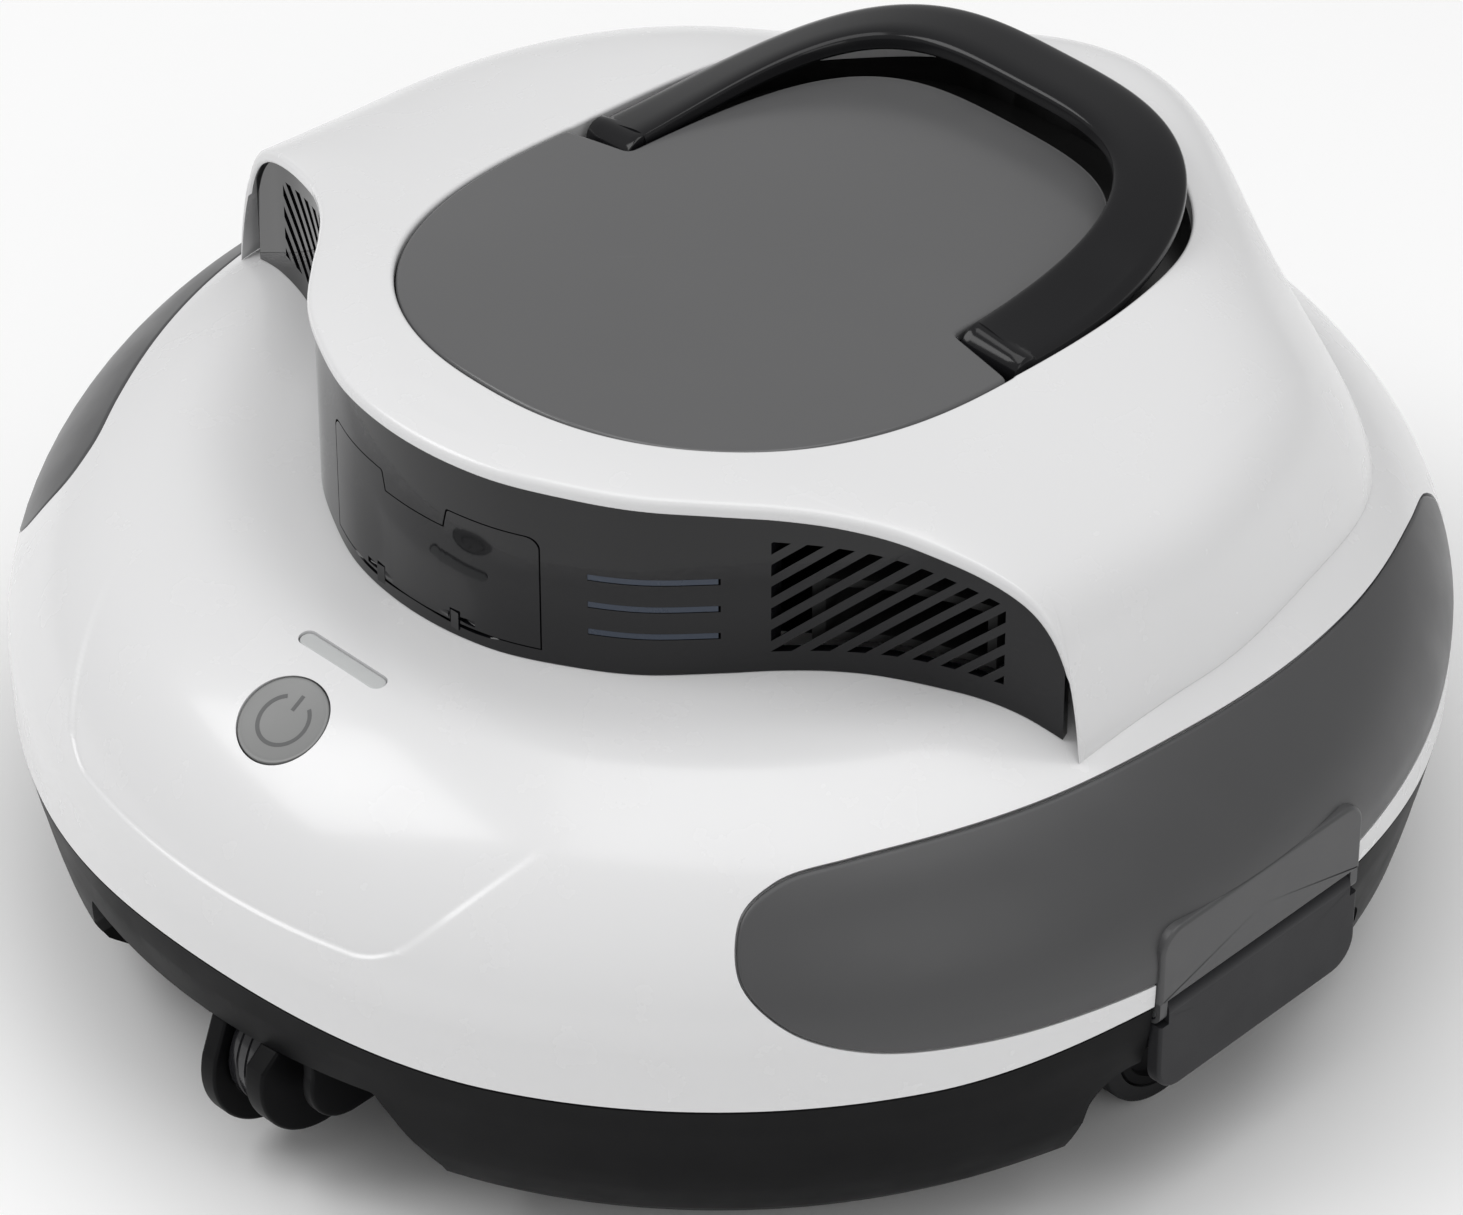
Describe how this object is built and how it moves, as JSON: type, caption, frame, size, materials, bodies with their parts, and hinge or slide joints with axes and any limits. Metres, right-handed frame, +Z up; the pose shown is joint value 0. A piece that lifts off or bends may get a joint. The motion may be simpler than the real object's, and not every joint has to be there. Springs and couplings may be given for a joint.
{
  "type": "pool cleaner",
  "caption": "Round, domed cordless robot pool cleaner with a raised hood, fold-down carrying handle, side latches, a filter base, side wheels and jet outlets.",
  "frame": {"origin": "on the ground under the centre of the body, where the wheels stand", "axes": "+Z up, +X to the machine's right as seen from behind the front face, front with the power button towards -Y"},
  "size_m": [0.3848, 0.3988, 0.1983],
  "materials": {
    "white_shell": "white moulded plastic with a soft sheen",
    "top_grey": "mid grey smooth satin plastic",
    "side_grey": "dark grey satin plastic",
    "base_black": "black moulded plastic with a fine grain",
    "gloss_black": "black polished plastic",
    "handle_black": "black satin plastic",
    "inner_black": "black glass-filled plastic",
    "roller_black": "black hard plastic",
    "tyre_rubber": "black rubber",
    "seal_rubber": "soft black rubber",
    "steel": "turned stainless steel",
    "brass": "plain brass contacts",
    "led_lens": "unlit bluish lens",
    "window_lens": "pale translucent lens",
    "button_grey": "grey plastic key with a printed power symbol",
    "circuit_board": "green circuit board",
    "battery_wrap": "blue shrink wrap",
    "basket_grey": "grey moulded plastic",
    "filter_cloth": "fine woven filter mesh"
  },
  "bodies": {
    "base": {"base_tray": "base_black", "guard_front": "base_black", "guard_rear": "base_black", "bumper_axle_front": "steel", "bumper_axle_rear": "steel", "wheel_axle_right": "steel", "wheel_axle_left": "steel", "flap_pin_front": "steel", "flap_pin_rear": "steel", "intake_wiper_front": "seal_rubber", "intake_wiper_rear": "seal_rubber"},
    "filter": {"filter_basket": "basket_grey", "filter_mesh": "filter_cloth"},
    "upper": {"upper_shell": "white_shell", "top_cover": "white_shell", "top_panel": "top_grey", "side_panel_right": "side_grey", "side_panel_left": "side_grey", "front_band": "gloss_black", "top_tray": "handle_black", "unit_floor": "inner_black", "motor_housing": "inner_black", "housing_lid": "inner_black", "pump_duct_right": "inner_black", "pump_duct_left": "inner_black", "charge_port": "inner_black", "housing_seal": "seal_rubber", "handle_pin_right": "steel", "handle_pin_left": "steel", "door_pin": "steel", "latch_pin_right": "steel", "latch_pin_left": "steel", "pump_motor_right": "steel", "pump_motor_left": "steel", "charge_socket": "brass", "led_bar_upper": "led_lens", "led_bar_middle": "led_lens", "led_bar_lower": "led_lens", "status_window": "window_lens", "switch_board": "circuit_board", "control_board": "circuit_board", "battery_pack": "battery_wrap"},
    "handle": {"carry_handle": "handle_black"},
    "door": {"charge_door": "gloss_black"},
    "button": {"power_button": "button_grey"},
    "latch_right": {"latch_right": "base_black"},
    "latch_left": {"latch_left": "base_black"},
    "wheel_right": {"side_wheel_right": "inner_black", "tyre_right": "tyre_rubber"},
    "wheel_left": {"side_wheel_left": "inner_black", "tyre_left": "tyre_rubber"},
    "bumper_front": {"bumper_roller_front": "roller_black"},
    "bumper_rear": {"bumper_roller_rear": "roller_black"},
    "under_front": {"under_roller_front": "tyre_rubber"},
    "under_rear": {"under_roller_rear": "tyre_rubber"},
    "flap_front": {"intake_flap_front": "seal_rubber"},
    "flap_rear": {"intake_flap_rear": "seal_rubber"},
    "impeller_right": {"impeller_right": "inner_black"},
    "impeller_left": {"impeller_left": "inner_black"}
  },
  "joints": [
    {"name": "upper_lift", "type": "slide", "parent": "base", "child": "upper", "axis": [0, 0, 1], "range_m": [0, 0.13]},
    {"name": "filter_lift", "type": "slide", "parent": "base", "child": "filter", "axis": [0, 0, 1], "range_m": [0, 0.052]},
    {"name": "handle_fold", "type": "hinge", "parent": "upper", "child": "handle", "pos_m": [0, 0.0285, 0.1798], "axis": [1, 0, 0], "range_deg": [0, 85]},
    {"name": "door_open", "type": "hinge", "parent": "upper", "child": "door", "pos_m": [0, -0.1146, 0.1434], "axis": [1, 0, 0], "range_deg": [0, 80]},
    {"name": "button_press", "type": "slide", "parent": "upper", "child": "button", "axis": [0, 0.4615, -0.8871], "range_m": [0, 0.0015], "stiffness_N_per_m": 600, "springref_m": -0.003},
    {"name": "latch_swing_right", "type": "hinge", "parent": "upper", "child": "latch_right", "pos_m": [0.1888, 0, 0.0675], "axis": [0, -1, 0], "range_deg": [0, 60]},
    {"name": "latch_swing_left", "type": "hinge", "parent": "upper", "child": "latch_left", "pos_m": [-0.1888, 0, 0.0675], "axis": [0, 1, 0], "range_deg": [0, 60]},
    {"name": "wheel_spin_right", "type": "hinge", "parent": "base", "child": "wheel_right", "pos_m": [0.155, 0, 0.025], "axis": [1, 0, 0], "continuous": true},
    {"name": "wheel_spin_left", "type": "hinge", "parent": "base", "child": "wheel_left", "pos_m": [-0.155, 0, 0.025], "axis": [1, 0, 0], "continuous": true},
    {"name": "bumper_spin_front", "type": "hinge", "parent": "base", "child": "bumper_front", "pos_m": [0.0127, -0.1755, 0.0354], "axis": [1, 0, 0], "continuous": true},
    {"name": "bumper_spin_rear", "type": "hinge", "parent": "base", "child": "bumper_rear", "pos_m": [-0.0127, 0.1755, 0.0354], "axis": [1, 0, 0], "continuous": true},
    {"name": "under_spin_front", "type": "hinge", "parent": "base", "child": "under_front", "pos_m": [0, -0.12, 0.012], "axis": [1, 0, 0], "continuous": true},
    {"name": "under_spin_rear", "type": "hinge", "parent": "base", "child": "under_rear", "pos_m": [0, 0.12, 0.012], "axis": [1, 0, 0], "continuous": true},
    {"name": "flap_open_front", "type": "hinge", "parent": "base", "child": "flap_front", "pos_m": [0, -0.0185, 0.0264], "axis": [1, 0, 0], "range_deg": [0, 70]},
    {"name": "flap_open_rear", "type": "hinge", "parent": "base", "child": "flap_rear", "pos_m": [0, 0.0185, 0.0264], "axis": [-1, 0, 0], "range_deg": [0, 70]},
    {"name": "impeller_spin_right", "type": "hinge", "parent": "upper", "child": "impeller_right", "pos_m": [0.108, 0.02, 0.083], "axis": [0, 0, 1], "continuous": true},
    {"name": "impeller_spin_left", "type": "hinge", "parent": "upper", "child": "impeller_left", "pos_m": [-0.108, 0.02, 0.083], "axis": [0, 0, 1], "continuous": true}
  ],
  "couplings": [
    {"joint": "filter_lift", "follows": "upper_lift", "ratio": 0.4}
  ]
}
